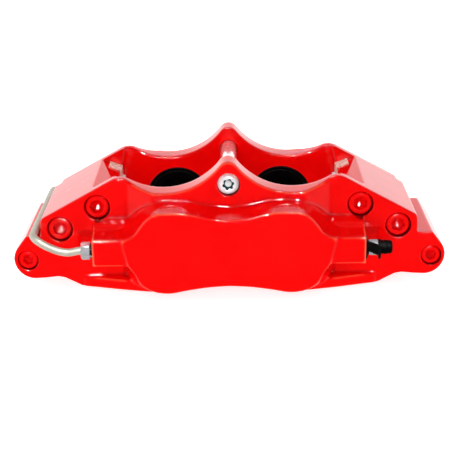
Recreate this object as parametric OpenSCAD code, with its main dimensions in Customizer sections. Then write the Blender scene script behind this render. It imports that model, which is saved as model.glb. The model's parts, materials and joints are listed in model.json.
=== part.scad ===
// Four-piston opposed brake caliper: two body halves bolted together over the rotor,
// joined hydraulically by an external crossover tube.
// X runs along the caliper, +Y points inboard to the knuckle, +Z points away from the axle.
// The origin is midway between the two mounting threads, on the mounting face.

/* [Body] */
// Distance from the mounting face to the middle of the rotor
mount_offset = 30; // [29:0.5:31]
// Half length from the centre to the lug bolts
lug_x = 126; // [125:0.5:127]
// Radius of the rounded lug end
lug_r = 12.9; // [12:0.1:13]
// Half distance between the inner walls of the pad window
wall_h = 32; // [31.5:0.5:32]
// Distance from the rotor middle to the flange face
flange_h = 38; // [37:0.5:39]
// Distance from the rotor middle to the crown face
crown_h = 48; // [47:0.5:49]
// Distance from the rotor middle to the port arm face
arm_h = 60; // [59:0.5:61]
// Distance from the rotor middle to the piston housing face
boss_h = 62; // [61.5:0.5:63]
// Half length of the pad window
window_x = 71.5; // [71:0.5:72]
// Height of the centre peak
peak_z = 65.2; // [64.5:0.1:66]
// Height of the lowest point of each scallop
scallop_z = 45.6; // [45:0.1:46]
// Radius of the scallops beside the peak
scallop_r = 43.6; // [43:0.1:45]

/* [Rotor] */
// Radius of the clearance slot cut for the rotor
slot_r = 152; // [150:0.5:153]
// Half width of the clearance slot
slot_h = 19; // [18:0.5:20]
// Depth of the rotor axis below the mounting threads
rotor_drop = 107; // [106:0.5:108]

/* [Pistons] */
// Half distance between the two bores of one side
bore_x = 34.4; // [34:0.1:35]
// Height of the bores above the mounting threads
bore_z = 17.3; // [16.5:0.1:18]
// Radius of each piston bore
bore_r = 17.5; // [17:0.1:17.6]
// Running clearance between piston and bore
piston_gap = 0.04; // [0.02:0.01:0.08]
// Length of each piston
piston_len = 17; // [15:0.5:17]
// Radius of the dust boot counterbore
boot_r = 20.5; // [20:0.1:21]

/* [Bolts] */
// Nominal diameter of the bridge bolts
bridge_bolt_d = 9.5; // [9:0.1:10]
// Head diameter of the bridge bolts
bridge_head_d = 14.3; // [14:0.1:14.5]
// Nominal diameter of the lug bolts
lug_bolt_d = 8; // [7:0.5:8]
// Head diameter of the lug bolts
lug_head_d = 11.9; // [11.5:0.1:12]
// Depth of the bolt heads below the flange face
head_sunk = 1; // [0:0.5:2]
// Minor diameter of the mounting threads
mount_thread_d = 9.36; // [9:0.02:9.4]

/* [Hydraulics] */
// Distance from the rotor middle to the port axis
port_h = 52; // [51.5:0.5:52.5]
// Height of the port axis
port_z = 11.3; // [11:0.1:11.6]
// Half length of the arms that hold the ports
arm_x = 83; // [82.5:0.5:84]
// Outer diameter of the crossover tube
tube_d = 4.76; // [4.7:0.02:5]
// Minor diameter of the hose inlet thread
inlet_d = 8.6; // [8.4:0.1:9]

/* [Pad hardware] */
// Height of the pad bridge tube
pin_z = 51.1; // [50.6:0.1:51.6]
// Outer diameter of the pad bridge tube
pin_tube_d = 10.2; // [10:0.1:10.6]
// Thickness of the abutment plates
plate_t = 1; // [0.8:0.1:1.2]

/* [Hidden] */
$fn = 64;
eps = 0.01;

lug_c = [121.8, 0.3];
scallop_x = 39.8;
bridge_bolt_at = [[81.1, 34.3], [104.8, 20.4]];
dowel_at = [93, 27.3];
dowel_d = 6;
slope_top = [71.6, 51.6];
slope_end = [116.1, 27];
crease_x = 84;
crease_z = slope_end[1] + (slope_end[0] - crease_x)
           * (slope_top[1] - slope_end[1]) / (slope_end[0] - slope_top[0]);
notch_z = 40.15;
function floor_z(x) = notch_z + (x - window_x) * (crease_z - notch_z) / (crease_x - window_x);
ear_h = wall_h - 2;
seat_h = 26.5;
bridge_seat_r = bridge_head_d / 2 + 0.75;
lug_seat_r = lug_head_d / 2 + 0.5;
washer_t = 1.5;
head_chamfer = 0.8;
key_depth = 4.5;
bridge_key = 8;
lug_key = 6.3;
head_top_h = flange_h - head_sunk;
lug_seat_h = 27.5;
lug_cut_x = 112.5;
insert_len = 13;
insert_r = 6.2;
lug_thread_len = 14;
bore_end_h = 56;
piston_face_h = 33.2;
seal_h = 37.5;
seal_w = 3;
seal_r = bore_r + 2;
boot_depth = 4;
passage_r = 1.6;
nut_thread_r = 4.45;
bleed_thread_r = 4;
port_depth = 13;
nut_flats = 9.525;
nut_hex_len = 5.6;
bleed_flats = 9.5;
scoop_r = 15.8;
scoop_len = 9;
scoop_taper = 3.5;
relief_at = [35.2, 37.6];
relief_r = 9.3;
relief_tilt = 7;
pin_recess = 1.5;
pin_bolt_r = 3;
pin_head_r = 6.5;
pin_head_h = crown_h - 3;
screw_at = [33, 25];
screw_r = 1.5;
lip_x = 79;
ledge_z = -17.8;
ledge_t = 7;
tie_fit = 0.03;

// Tip of the centre peak: a small circle that touches both scallops
tip_rise = scallop_z + scallop_r - peak_z;
tip_r = (pow(scallop_x, 2) + pow(tip_rise, 2) - pow(scallop_r, 2)) / (2 * (scallop_r - tip_rise));
tip_a = atan2(tip_rise + tip_r, scallop_x);
tip_edge = [tip_r * cos(tip_a), peak_z - tip_r + tip_r * sin(tip_a)];

// Right-hand half of the flange outline, from the tip round to the middle of the lower edge
face_right = [tip_edge, [61.5, 51.8], [64, 52.5], [66.8, 52.7], [69.5, 52.3], slope_top,
              slope_end, [117, 25.2], [117, 15.5], [126.5, 15.5],
              [lug_c[0] + lug_r * cos(40), lug_c[1] + lug_r * sin(40)], lug_c,
              [lug_c[0], lug_c[1] - lug_r], [115, -12.2], [107.7, -11.4], [103.6, -12.2],
              [97.8, -15.2], [93, -17.8]];

// Upper edge of the piston housing, from the centre dip over the crest down to the arm:
// on the front face, at mid depth and at the root
boss_top_front = [[0, 32.9], [12, 33.9], [24, 37], [35, 38], [43, 37.3], [49, 34], [54, 28],
                  [58, 22.8], [65, 20.4]];
boss_top_mid = [[0, 36.5], [12, 37.6], [24, 40.1], [35, 41], [44, 39.8], [51.5, 36.4], [57.3, 30.4],
                [61, 25.6], [68, 23]];
boss_top_root = [[0, 37.5], [12, 38.6], [24, 41], [35, 42], [45, 40.6], [53, 37], [59.3, 31.6],
                 [62.6, 28.4], [70, 27]];
// Lower edge and side, from the arm round the hump under each bore to the centre
boss_low_front = [[61, 3.5], [57, -1.5], [53.5, -8], [46.5, -12.6], [36.8, -14], [26.5, -12.2],
                  [13, -10.2], [0, -9.4]];
boss_low_mid = [[64.5, 2], [61.5, -4.5], [58.5, -12.5], [48, -16.4], [36.8, -17.7], [26.5, -16],
                [13, -14.1], [0, -13.2]];
boss_low_root = [[68, 2], [66, -6], [63, -17], [50, -18.2], [36.8, -19.5], [26.5, -18.6],
                 [13, -18.1], [0, -18]];
boss_steps = 3;

// Crossover tube from its outboard flare to the middle: distance left, depth, height
tube_half = [[71.5, port_h, port_z], [90.5, port_h, port_z], [94.5, port_h, 10.8], [98.5, port_h, 10.2],
             [103, port_h, 10.9], [107, port_h, 12.3], [111, port_h, 14.2], [115, 51.6, 16.5],
             [118.4, 49.4, 18.2], [120.2, 45.6, 18.9], [120.6, 40, 18.9], [120.6, 0, 18.9]];
tube_steps = 3;
tube_sides = 12;

function turned(pts) = [for (i = [len(pts) - 1 : -1 : 0]) pts[i]];
function mirrored(pts) = [for (p = turned(pts)) [-p[0], p[1]]];
function both_sides(pts) = concat(pts, mirrored(pts));

// A smooth curve through every point, with level ends
function pick(pts, i) = pts[max(0, min(len(pts) - 1, i))];
function blend(a, b, c, d, t) = 0.5 * (2 * b + (c - a) * t + (2 * a - 5 * b + 4 * c - d) * t * t
                                       + (3 * b - a - 3 * c + d) * t * t * t);
function curve(pts, n) = concat([for (i = [0 : len(pts) - 2], k = [0 : n - 1])
    blend(pick(pts, i - 1), pts[i], pts[i + 1], pick(pts, i + 2), k / n)], [pts[len(pts) - 1]]);

// Closed outline of the housing section with the given upper and lower edges
function section(top, low) = both_sides_open(concat(curve(top, boss_steps), curve(low, boss_steps)));
function both_sides_open(pts) = concat(pts, [for (i = [len(pts) - 2 : -1 : 1]) [-pts[i][0], pts[i][1]]]);

// Shapes are placed on one side of the rotor: depth is counted outwards from its middle
module at_outboard() translate([0, -mount_offset, 0]) children();
module at_inboard() translate([0, -mount_offset, 0]) mirror([0, 1, 0]) children();
module depth(h0, h1) rotate([90, 0, 0]) translate([0, 0, h0]) linear_extrude(h1 - h0) children();
module rod(at, h0, h1, r) translate([at[0], -h0, at[1]]) rotate([90, 0, 0]) cylinder(h = h1 - h0, r = r);
module both_ends() for (s = [0, 1]) mirror([s, 0, 0]) children();
module port_axis(x) translate([x, -port_h, port_z]) rotate([0, 90, 0]) children();

module hex(flats, h) cylinder(h = h, r = flats / 2 / cos(30), $fn = 6);

module face_outline() difference() {
    union() {
        polygon(both_sides(face_right));
        for (s = [-1, 1]) translate([s * lug_c[0], lug_c[1]]) circle(lug_r);
        translate([0, peak_z - tip_r]) circle(tip_r);
    }
    for (s = [-1, 1]) translate([s * scallop_x, scallop_z + scallop_r]) circle(scallop_r, $fn = 128);
}

// Crown wall: full depth around the peak, falling back to the flange beside the scallops
module crown() intersection() {
    depth(flange_h - 1, crown_h) face_outline();
    translate([0, 0, -14]) linear_extrude(90)
        polygon([[-64, 1 - flange_h], [-63, -flange_h], [-46, -crown_h],
                 [46, -crown_h], [63, -flange_h], [64, 1 - flange_h]]);
}

// Straight arms that carry the ports out to both ends, with one step along their sloping top
module arms() translate([-arm_x, 0, 0]) rotate([90, 0, 90]) linear_extrude(2 * arm_x)
    polygon([[1 - flange_h, 27.4], [-flange_h, 27.2], [2 - crown_h, 25.6], [-crown_h, 23.2], [-arm_h, 20.3],
             [-arm_h, 3.6], [-crown_h, 2.4], [1 - flange_h, 1]]);

// Ledge along the lower edge, deepest under the bores, running out at the corners and the centre
module lower_rim() translate([0, 0, ledge_z]) linear_extrude(ledge_t) both_ends()
    polygon([[-1, 1 - flange_h], [-1, -flange_h - 1], [12, -flange_h - 1], [24, -44.5], [38, -50],
             [50, -50], [67, -46], [91, -flange_h - 1], [93, 1 - flange_h]]);

// Piston housing: its outline narrows from the root to the front face
module boss() {
    outlines = [section(boss_top_root, boss_low_root), section(boss_top_mid, boss_low_mid),
                section(boss_top_front, boss_low_front)];
    depths = [flange_h - 2, crown_h + 1, boss_h];
    n = len(outlines[0]);
    points = [for (k = [0 : 2], p = outlines[k]) [p[0], -depths[k], p[1]]];
    sides = [for (k = [0 : 1], i = [0 : n - 1]) let (j = (i + 1) % n, a = k * n, b = a + n)
             each [[a + i, b + j, b + i], [a + i, a + j, b + j]]];
    caps = [[for (i = [n - 1 : -1 : 0]) i], [for (i = [0 : n - 1]) 2 * n + i]];
    polyhedron(points, concat(sides, caps));
}

module window_cut() {
    depth(-1, wall_h)
        polygon([[-window_x, -40], [window_x, -40], [window_x, notch_z + 1], [window_x - 3, 53],
                 [window_x - 3, 80], [3 - window_x, 80], [3 - window_x, 53], [-window_x, notch_z + 1]]);
    both_ends() depth(-1, ear_h)
        polygon([[window_x - 5, notch_z], [window_x, notch_z], [crease_x, crease_z],
                 [crease_x, 80], [window_x - 5, 80]]);
    depth(-1, slot_h) translate([0, -rotor_drop]) circle(slot_r, $fn = 180);
}

module piston_bores() for (s = [-1, 1]) {
    at = [s * bore_x, bore_z];
    rod(at, wall_h - 1, bore_end_h, bore_r);
    rod(at, wall_h - 1, wall_h + boot_depth, boot_r);
    rod(at, seal_h, seal_h + seal_w, seal_r);
}

// Left port for the tube nut, right port for the bleed screw, one passage through both bores
module ports() {
    port_axis(-arm_x - 1) cylinder(h = port_depth + 1, r = nut_thread_r);
    port_axis(arm_x - port_depth) cylinder(h = port_depth + 1, r = bleed_thread_r);
    port_axis(-arm_x + 1) cylinder(h = 2 * arm_x - 2, r = passage_r);
    both_ends() {
        port_axis(arm_x) cylinder(h = scoop_len, r = scoop_r);
        port_axis(arm_x + scoop_len - eps) cylinder(h = scoop_taper, r1 = scoop_r, r2 = scoop_r - 2.7);
    }
}

module relief_pockets() for (s = [-1, 1])
    translate([s * relief_at[0], -boss_h, relief_at[1]]) rotate([relief_tilt, 0, 0])
        cylinder(h = 7, r = relief_r);

module pin_holes() {
    rod([0, pin_z], wall_h - 1, crown_h + 1, pin_bolt_r + 0.2);
    rod([0, pin_z], wall_h - 1, wall_h + pin_recess, pin_tube_d / 2 + 0.8);
    rod([0, pin_z], pin_head_h, crown_h + 1, pin_head_r + 0.5);
}

module plate_screw_holes() both_ends() translate([window_x - 1, -screw_at[1], screw_at[0]])
    rotate([0, 90, 0]) cylinder(h = 4.6, r = screw_r);

module caliper_half() difference() {
    union() {
        depth(0, flange_h) face_outline();
        crown();
        arms();
        lower_rim();
        boss();
    }
    window_cut();
    piston_bores();
    ports();
    relief_pockets();
    pin_holes();
    plate_screw_holes();
    both_ends() rod(dowel_at, -1, 8.5, dowel_d / 2);
}

module outboard_body() color("red") at_outboard() difference() {
    caliper_half();
    both_ends() {
        for (at = bridge_bolt_at) {
            rod(at, -1, flange_h + 1, bridge_bolt_d / 2 + 0.2);
            rod(at, seat_h, flange_h + 1, bridge_seat_r);
        }
        rod([lug_x, 0], -1, flange_h + 1, lug_bolt_d / 2 + 0.2);
        rod([lug_x, 0], lug_seat_h, flange_h + 1, lug_seat_r);
    }
}

module inboard_body() color("red") at_inboard() difference() {
    caliper_half();
    both_ends() {
        for (at = bridge_bolt_at) rod(at, -1, 27, bridge_bolt_d / 2 + tie_fit);
        rod([lug_x, 0], -1, lug_thread_len, lug_bolt_d / 2 + tie_fit);
        rod([lug_x, 0], mount_offset - insert_len, flange_h + 1, insert_r);
        translate([lug_cut_x, -flange_h - 1, -20]) cube([30, flange_h + 1 - mount_offset, 60]);
    }
    rod([0, port_z], port_h + 1, boss_h + 1, inlet_d / 2);
}

module piston(s) color("dimgray") difference() {
    at = [s * bore_x, bore_z];
    rod(at, piston_face_h, piston_face_h + piston_len, bore_r - piston_gap);
    rod(at, piston_face_h - 1, piston_face_h + 11, 13.5);
    rod(at, piston_face_h + piston_len - 2, piston_face_h + piston_len + 1, 9);
}

module piston_seal(s) color("black") difference() {
    rod([s * bore_x, bore_z], seal_h + 0.05, seal_h + seal_w - 0.05, seal_r - 0.02);
    rod([s * bore_x, bore_z], seal_h - 1, seal_h + seal_w + 1, bore_r);
}

module dust_boot(s) color("black") difference() {
    rod([s * bore_x, bore_z], wall_h + 0.3, wall_h + boot_depth - 0.05, boot_r - 0.03);
    rod([s * bore_x, bore_z], wall_h - 1, wall_h + boot_depth + 1, bore_r + 0.06);
    difference() {
        rod([s * bore_x, bore_z], wall_h - 1, wall_h + 1.6, boot_r - 1);
        rod([s * bore_x, bore_z], wall_h - 2, wall_h + 2, bore_r + 1);
    }
}

// Socket head screw, its top face at the given depth and its tip at the other
module socket_screw(at, top_h, tip_h, head_r, head_len, shank_r, key) difference() {
    union() {
        rod(at, top_h - head_len, top_h - head_chamfer, head_r);
        translate([at[0], head_chamfer - top_h, at[1]]) rotate([90, 0, 0])
            cylinder(h = head_chamfer, r1 = head_r, r2 = head_r - head_chamfer);
        rod(at, tip_h, top_h - head_len + eps, shank_r);
    }
    translate([at[0], key_depth - top_h, at[1]]) rotate([90, 0, 0]) hex(key, key_depth + 1);
}

module washer(at, h0, r_out, r_in) difference() {
    rod(at, h0, h0 + washer_t, r_out);
    rod(at, h0 - 1, h0 + washer_t + 1, r_in);
}

module bridge_bolts() color("red") at_outboard() both_ends() for (at = bridge_bolt_at)
    socket_screw(at, head_top_h, -25, bridge_head_d / 2, head_top_h - seat_h - washer_t,
                 bridge_bolt_d / 2, bridge_key);

module bridge_bolt_washers() color("silver") at_outboard() both_ends() for (at = bridge_bolt_at)
    washer(at, seat_h, bridge_seat_r - 0.25, bridge_bolt_d / 2 + 0.2);

module lug_bolts() color("red") at_outboard() both_ends()
    socket_screw([lug_x, 0], head_top_h, 1 - lug_thread_len, lug_head_d / 2,
                 head_top_h - lug_seat_h - washer_t, lug_bolt_d / 2, lug_key);

module lug_bolt_washers() color("silver") at_outboard() both_ends()
    washer([lug_x, 0], lug_seat_h, lug_seat_r - 0.25, lug_bolt_d / 2 + 0.2);

module locating_dowels() color("silver") at_outboard() both_ends()
    rod(dowel_at, -8, 8, dowel_d / 2 - tie_fit);

module mounting_thread_inserts() color("silver") at_inboard() both_ends() difference() {
    rod([lug_x, 0], mount_offset - insert_len, mount_offset, insert_r);
    rod([lug_x, 0], mount_offset - insert_len - 1, mount_offset + 1, mount_thread_d / 2);
}

// The tube keeps one round section along its whole route, from port to port
module crossover_tube() color("silver") {
    out = [for (p = tube_half) [-p[0], -p[1] - mount_offset, p[2]]];
    back = [for (i = [len(tube_half) - 2 : -1 : 0])
            [-tube_half[i][0], tube_half[i][1] - mount_offset, tube_half[i][2]]];
    path = curve(concat(out, back), tube_steps);
    n = len(path);
    m = tube_sides;
    ahead = [for (i = [0 : n - 1]) pick(path, i + 1) - pick(path, i - 1)];
    ring = [for (i = [0 : n - 1]) let (d = ahead[i] / norm(ahead[i]), v = cross([0, 0, 1], d),
            u = v / norm(v), w = cross(d, u))
            each [for (k = [0 : m - 1]) path[i] + tube_d / 2 * (cos(k * 360 / m) * u
                  + sin(k * 360 / m) * w)]];
    wall = [for (i = [0 : n - 2], k = [0 : m - 1]) let (j = (k + 1) % m, a = i * m, b = a + m)
            each [[a + k, b + k, b + j], [a + k, b + j, a + j]]];
    ends = [[for (k = [0 : m - 1]) k], [for (k = [m - 1 : -1 : 0]) (n - 1) * m + k]];
    polyhedron(ring, concat(wall, ends));
}

module tube_nut() color("silver") difference() {
    union() {
        port_axis(-arm_x - 2) cylinder(h = port_depth + 1.5, r = nut_thread_r - tie_fit);
        intersection() {
            port_axis(-arm_x - 7.4) hex(nut_flats, nut_hex_len);
            port_axis(-arm_x - 7.4) cylinder(h = nut_hex_len, r1 = 4.9, r2 = 8.2);
        }
    }
    port_axis(-arm_x - 8) cylinder(h = port_depth + 8, r = tube_d / 2 + 0.06);
}

module bleed_screw() color("silver") difference() {
    union() {
        port_axis(arm_x - 12.5) cylinder(h = 14.6, r = bleed_thread_r - tie_fit);
        port_axis(arm_x + 2) hex(bleed_flats, 5.6);
        port_axis(arm_x + 7.5) cylinder(h = 4, r = 2.5);
        port_axis(arm_x + 11.4) cylinder(h = 4, r1 = 3.1, r2 = 2.3);
    }
    port_axis(arm_x + 5) cylinder(h = 12, r = 0.9);
}

module bleed_cap() color("black") difference() {
    union() {
        port_axis(arm_x + 8.1) cylinder(h = 1.6, r = 4.4);
        port_axis(arm_x + 9.6) cylinder(h = 5.5, r1 = 4, r2 = 3.9);
        port_axis(arm_x + 15) cylinder(h = 1.5, r1 = 3.9, r2 = 3.3);
    }
    port_axis(arm_x + 8) cylinder(h = 7.8, r = 3.4);
}

module cap_tether() color("black") difference() {
    union() {
        port_axis(arm_x) cylinder(h = 1.4, r = 7.2);
        translate([arm_x, -port_h - 7.2, port_z - 1]) cube([7.6, 1.3, 4.8]);
    }
    port_axis(arm_x - 1) cylinder(h = 12, r = 4.95);
}

module pad_bridge_tube() color("silver") at_outboard() difference() {
    reach = wall_h + pin_recess - 0.1;
    rod([0, pin_z], -reach, reach, pin_tube_d / 2);
    rod([0, pin_z], -reach - 1, reach + 1, pin_bolt_r + 0.3);
}

module pad_bridge_bolt() color("silver") at_outboard() difference() {
    union() {
        rod([0, pin_z], -crown_h - 3, pin_head_h + 1, pin_bolt_r);
        rod([0, pin_z], pin_head_h, pin_head_h + 1.4, pin_head_r);
        translate([0, -pin_head_h - 1.4, pin_z]) rotate([90, 0, 0])
            cylinder(h = 1.9, r1 = pin_head_r, r2 = 4.4);
    }
    translate([0, -pin_head_h - 1, pin_z]) rotate([90, 0, 0]) hex(4.6, 3);
}

module pad_bridge_locknut() color("silver") at_inboard() difference() {
    translate([0, -pin_head_h, pin_z]) rotate([90, 0, 0]) hex(10, 5);
    rod([0, pin_z], pin_head_h - 1, pin_head_h + 6, pin_bolt_r + tie_fit);
}

module abutment_plate() difference() {
    depth(slot_h + 1, ear_h - 0.3)
        polygon([[window_x - plate_t, 24], [window_x, 24], [window_x, notch_z],
                 [lip_x, floor_z(lip_x)], [lip_x - 0.4, plate_t + floor_z(lip_x - 0.4)],
                 [window_x - plate_t, notch_z + 0.7]]);
    translate([window_x - 3, -screw_at[1], screw_at[0]]) rotate([0, 90, 0])
        cylinder(h = 5, r = screw_r + 0.2);
}

module abutment_screw() translate([window_x, -screw_at[1], screw_at[0]]) rotate([0, 90, 0]) {
    translate([0, 0, -plate_t - 2]) difference() {
        cylinder(h = 2, r1 = 2.2, r2 = 2.8);
        translate([0, 0, -1]) hex(2, 2.2);
    }
    translate([0, 0, -plate_t - eps]) cylinder(h = plate_t + 3.4, r = screw_r - tie_fit);
}

module abutment_plates() color("gainsboro") both_ends() {
    at_outboard() abutment_plate();
    at_inboard() abutment_plate();
}

module abutment_screws() color("silver") both_ends() {
    at_outboard() abutment_screw();
    at_inboard() abutment_screw();
}

outboard_body();
inboard_body();
at_outboard() piston(-1);  // piston_outboard_left
at_outboard() piston(1);  // piston_outboard_right
at_inboard() piston(-1);  // piston_inboard_left
at_inboard() piston(1);  // piston_inboard_right
at_outboard() piston_seal(-1);  // piston_seal_outboard_left
at_outboard() piston_seal(1);  // piston_seal_outboard_right
at_inboard() piston_seal(-1);  // piston_seal_inboard_left
at_inboard() piston_seal(1);  // piston_seal_inboard_right
at_outboard() dust_boot(-1);  // dust_boot_outboard_left
at_outboard() dust_boot(1);  // dust_boot_outboard_right
at_inboard() dust_boot(-1);  // dust_boot_inboard_left
at_inboard() dust_boot(1);  // dust_boot_inboard_right
bridge_bolts();
bridge_bolt_washers();
lug_bolts();
lug_bolt_washers();
locating_dowels();
mounting_thread_inserts();
crossover_tube();
at_outboard() tube_nut();  // tube_nut_outboard
at_inboard() tube_nut();  // tube_nut_inboard
at_outboard() bleed_screw();  // bleed_screw_outboard
at_inboard() bleed_screw();  // bleed_screw_inboard
at_outboard() bleed_cap();  // bleed_cap_outboard
at_inboard() bleed_cap();  // bleed_cap_inboard
at_outboard() cap_tether();  // cap_tether_outboard
at_inboard() cap_tether();  // cap_tether_inboard
pad_bridge_tube();
pad_bridge_bolt();
pad_bridge_locknut();
abutment_plates();
abutment_screws();
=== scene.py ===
"""Looks of the brake caliper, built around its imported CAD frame."""

import json
import math

import bmesh
import bpy
import numpy as np
import openvdb
from mathutils import Matrix, Vector


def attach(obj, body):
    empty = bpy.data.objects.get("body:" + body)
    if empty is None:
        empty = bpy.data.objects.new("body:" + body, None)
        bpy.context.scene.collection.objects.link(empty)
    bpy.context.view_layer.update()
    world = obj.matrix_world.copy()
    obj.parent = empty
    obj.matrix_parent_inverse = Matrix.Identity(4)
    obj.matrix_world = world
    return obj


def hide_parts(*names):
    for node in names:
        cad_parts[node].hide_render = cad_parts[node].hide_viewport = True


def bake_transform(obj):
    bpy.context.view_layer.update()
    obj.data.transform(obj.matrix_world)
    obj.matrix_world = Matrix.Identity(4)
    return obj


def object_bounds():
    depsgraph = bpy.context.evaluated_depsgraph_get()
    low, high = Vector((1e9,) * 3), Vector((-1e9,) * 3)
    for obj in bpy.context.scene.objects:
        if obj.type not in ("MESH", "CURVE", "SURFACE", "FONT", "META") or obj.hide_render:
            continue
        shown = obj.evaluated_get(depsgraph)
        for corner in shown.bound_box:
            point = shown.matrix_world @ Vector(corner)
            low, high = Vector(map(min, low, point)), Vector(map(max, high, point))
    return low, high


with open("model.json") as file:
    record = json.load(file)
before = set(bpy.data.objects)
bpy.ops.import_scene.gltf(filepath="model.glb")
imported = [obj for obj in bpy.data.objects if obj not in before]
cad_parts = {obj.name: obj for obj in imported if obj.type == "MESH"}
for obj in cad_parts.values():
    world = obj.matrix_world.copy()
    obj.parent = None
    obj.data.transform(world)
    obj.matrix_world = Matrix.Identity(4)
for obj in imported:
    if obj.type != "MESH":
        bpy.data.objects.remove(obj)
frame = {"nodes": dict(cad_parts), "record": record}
cad_low, cad_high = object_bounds()

# All shapes below are written in millimetres in the row frame. "Depth" is counted outwards
# from the middle of the rotor: the outboard half lies at y = MID - depth, the inboard at MID + depth.
MM = 0.001
MID = -30.0
SIDES = {"outboard": -1, "inboard": 1}
ENDS = {"left": -1, "right": 1}
PORT = (52.0, 11.3)
BORE = (34.4, 17.3)
BRIDGE_BOLTS = [(81.1, 34.3), (104.8, 20.4)]
LUG_BOLT = (126.0, 0.0)
PIN_Z = 51.1
HEAD_TOP = 37.0
RELIEF = (35.2, 62.0, 9.3)
# Counterbores of the screw heads: place and radius
SEATS = [(*at, 7.9) for at in BRIDGE_BOLTS] + [(*LUG_BOLT, 6.45), (0.0, PIN_Z, 7.0)]


# ---------------------------------------------------------------- materials

NOISE_ROUGHNESS = 0.55
# Sockets of the colour mix node
MIX_SHARE, MIX_FIRST, MIX_SECOND, MIX_OUT = 0, 6, 7, 2


class Shader:
    """A principled material with short calls for its procedural nodes."""

    def __init__(self, name, color, metallic=0.0, roughness=0.4, **inputs):
        self.mat = bpy.data.materials.new(name)
        self.mat.use_nodes = True
        self.tree = self.mat.node_tree
        self.bsdf = self.tree.nodes["Principled BSDF"]
        self.bsdf.inputs["Base Color"].default_value = (*color, 1)
        self.bsdf.inputs["Metallic"].default_value = metallic
        self.bsdf.inputs["Roughness"].default_value = roughness
        for key, value in inputs.items():
            self.bsdf.inputs[key.replace("_", " ")].default_value = value
        self.place = self.tree.nodes.new("ShaderNodeTexCoord").outputs["Object"]
        self.normal = None

    def link(self, out, socket):
        self.tree.links.new(out, socket)

    def stretched(self, scale):
        node = self.tree.nodes.new("ShaderNodeMapping")
        node.inputs["Scale"].default_value = scale
        self.link(self.place, node.inputs["Vector"])
        return node.outputs["Vector"]

    def noise(self, scale, detail, vector=None):
        node = self.tree.nodes.new("ShaderNodeTexNoise")
        node.inputs["Scale"].default_value = scale
        node.inputs["Detail"].default_value = detail
        node.inputs["Roughness"].default_value = NOISE_ROUGHNESS
        self.link(vector or self.place, node.inputs["Vector"])
        return node.outputs["Fac"]

    def cells(self, scale):
        node = self.tree.nodes.new("ShaderNodeTexVoronoi")
        node.inputs["Scale"].default_value = scale
        self.link(self.place, node.inputs["Vector"])
        return node.outputs["Distance"]

    def painted(self, name):
        """A value stored on the mesh by store(). "relief" is above 0 on edges and below 0 in gaps."""
        node = self.tree.nodes.new("ShaderNodeAttribute")
        node.attribute_name = name
        return node.outputs["Fac"]

    def edges(self):
        """About 0.5 on flat skin and more on edges."""
        return self.tree.nodes.new("ShaderNodeNewGeometry").outputs["Pointiness"]

    def spread(self, value, from_low, from_high, low, high):
        """The value's range from_low..from_high carried over to low..high, and held beyond."""
        node = self.tree.nodes.new("ShaderNodeMapRange")
        for key, number in zip(("From Min", "From Max", "To Min", "To Max"),
                               (from_low, from_high, low, high)):
            node.inputs[key].default_value = number
        self.link(value, node.inputs["Value"])
        return node.outputs["Result"]

    def tint(self, value, first, second):
        """The first color where the value is 0, the second where it is 1."""
        node = self.tree.nodes.new("ShaderNodeMix")
        node.data_type = "RGBA"
        for socket, color in ((MIX_FIRST, first), (MIX_SECOND, second)):
            if isinstance(color, tuple):
                node.inputs[socket].default_value = (*color, 1)
            else:
                self.link(color, node.inputs[socket])
        self.link(value, node.inputs[MIX_SHARE])
        return node.outputs[MIX_OUT]

    def color(self, out):
        self.link(out, self.bsdf.inputs["Base Color"])

    def roughness(self, out):
        self.link(out, self.bsdf.inputs["Roughness"])

    def bump(self, height, distance):
        """Adds relief on top of what there is, its height in millimetres."""
        node = self.tree.nodes.new("ShaderNodeBump")
        node.inputs["Distance"].default_value = distance * MM
        self.link(height, node.inputs["Height"])
        if self.normal:
            self.link(self.normal, node.inputs["Normal"])
        self.normal = node.outputs["Normal"]
        self.link(self.normal, self.bsdf.inputs["Normal"])


def powder_coat(name, edge_highlight):
    """Gloss red coating: faint orange peel, specks, a painted orange highlight on sharp edges, painted shade
    in gaps and corners, and a lighter painted reflection on the pocket floors.
    """
    s = Shader(name, (0.86, 0.002, 0.002), roughness=0.38, Specular_IOR_Level=0.0,
               Coat_Weight=1.0, Coat_Roughness=0.03, Coat_IOR=1.5)
    base = s.tint(s.spread(s.noise(60, 2), 0.35, 0.65, 0, 1), (0.82, 0.0010, 0.0012), (0.89, 0.0018, 0.0018))
    speck = s.spread(s.cells(330), 0.03, 0.06, 0.35, 0)
    base = s.tint(speck, base, (0.62, 0.001, 0.001))
    # Painted shade where relief is below 0: gaps, corners, seats and scoops
    base = s.tint(s.spread(s.painted("relief"), -0.1, -1.0, 0, 1), base, (0.04, 0.0, 0.0))
    # Painted reflection: the upward floors of the relief pockets lighter
    base = s.tint(s.painted("painted_reflection"), base, (0.91, 0.10, 0.10))
    # Painted highlight: an orange line on sharp edges, where relief is above 0
    edge = s.spread(s.painted("relief"), 0.22, 0.42, 0, edge_highlight)
    s.color(s.tint(edge, base, (1.0, 0.20, 0.09)))
    s.roughness(s.spread(s.noise(220, 4), 0.3, 0.7, 0.33, 0.45))
    s.bump(s.noise(420, 2), 0.012)
    s.bump(s.noise(95, 1), 0.05)
    return s.mat


def plated(name, dark, light, rough, marks, metallic=1.0, shade=(0.03, 0.03, 0.03)):
    """Zinc plated or bare bright steel: cloudy plate, drawn or turned marks, painted shade in sockets and
    grooves.
    """
    s = Shader(name, light, metallic=metallic, roughness=rough[0])
    cloud = s.spread(s.noise(150, 5), 0.3, 0.7, 0, 1)
    lines = s.noise(1.0, 3, vector=s.stretched(marks))
    streak = s.spread(lines, 0.35, 0.65, 0, 0.5)
    tone = s.tint(cloud, dark, light)
    tone = s.tint(streak, tone, dark)
    s.color(s.tint(s.spread(s.painted("relief"), 0.0, -1.0, 0, 1), tone, shade))
    s.roughness(s.spread(s.noise(380, 4), 0.3, 0.7, *rough))
    s.bump(lines, 0.006)
    s.bump(s.noise(900, 3), 0.004)
    return s.mat


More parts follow.
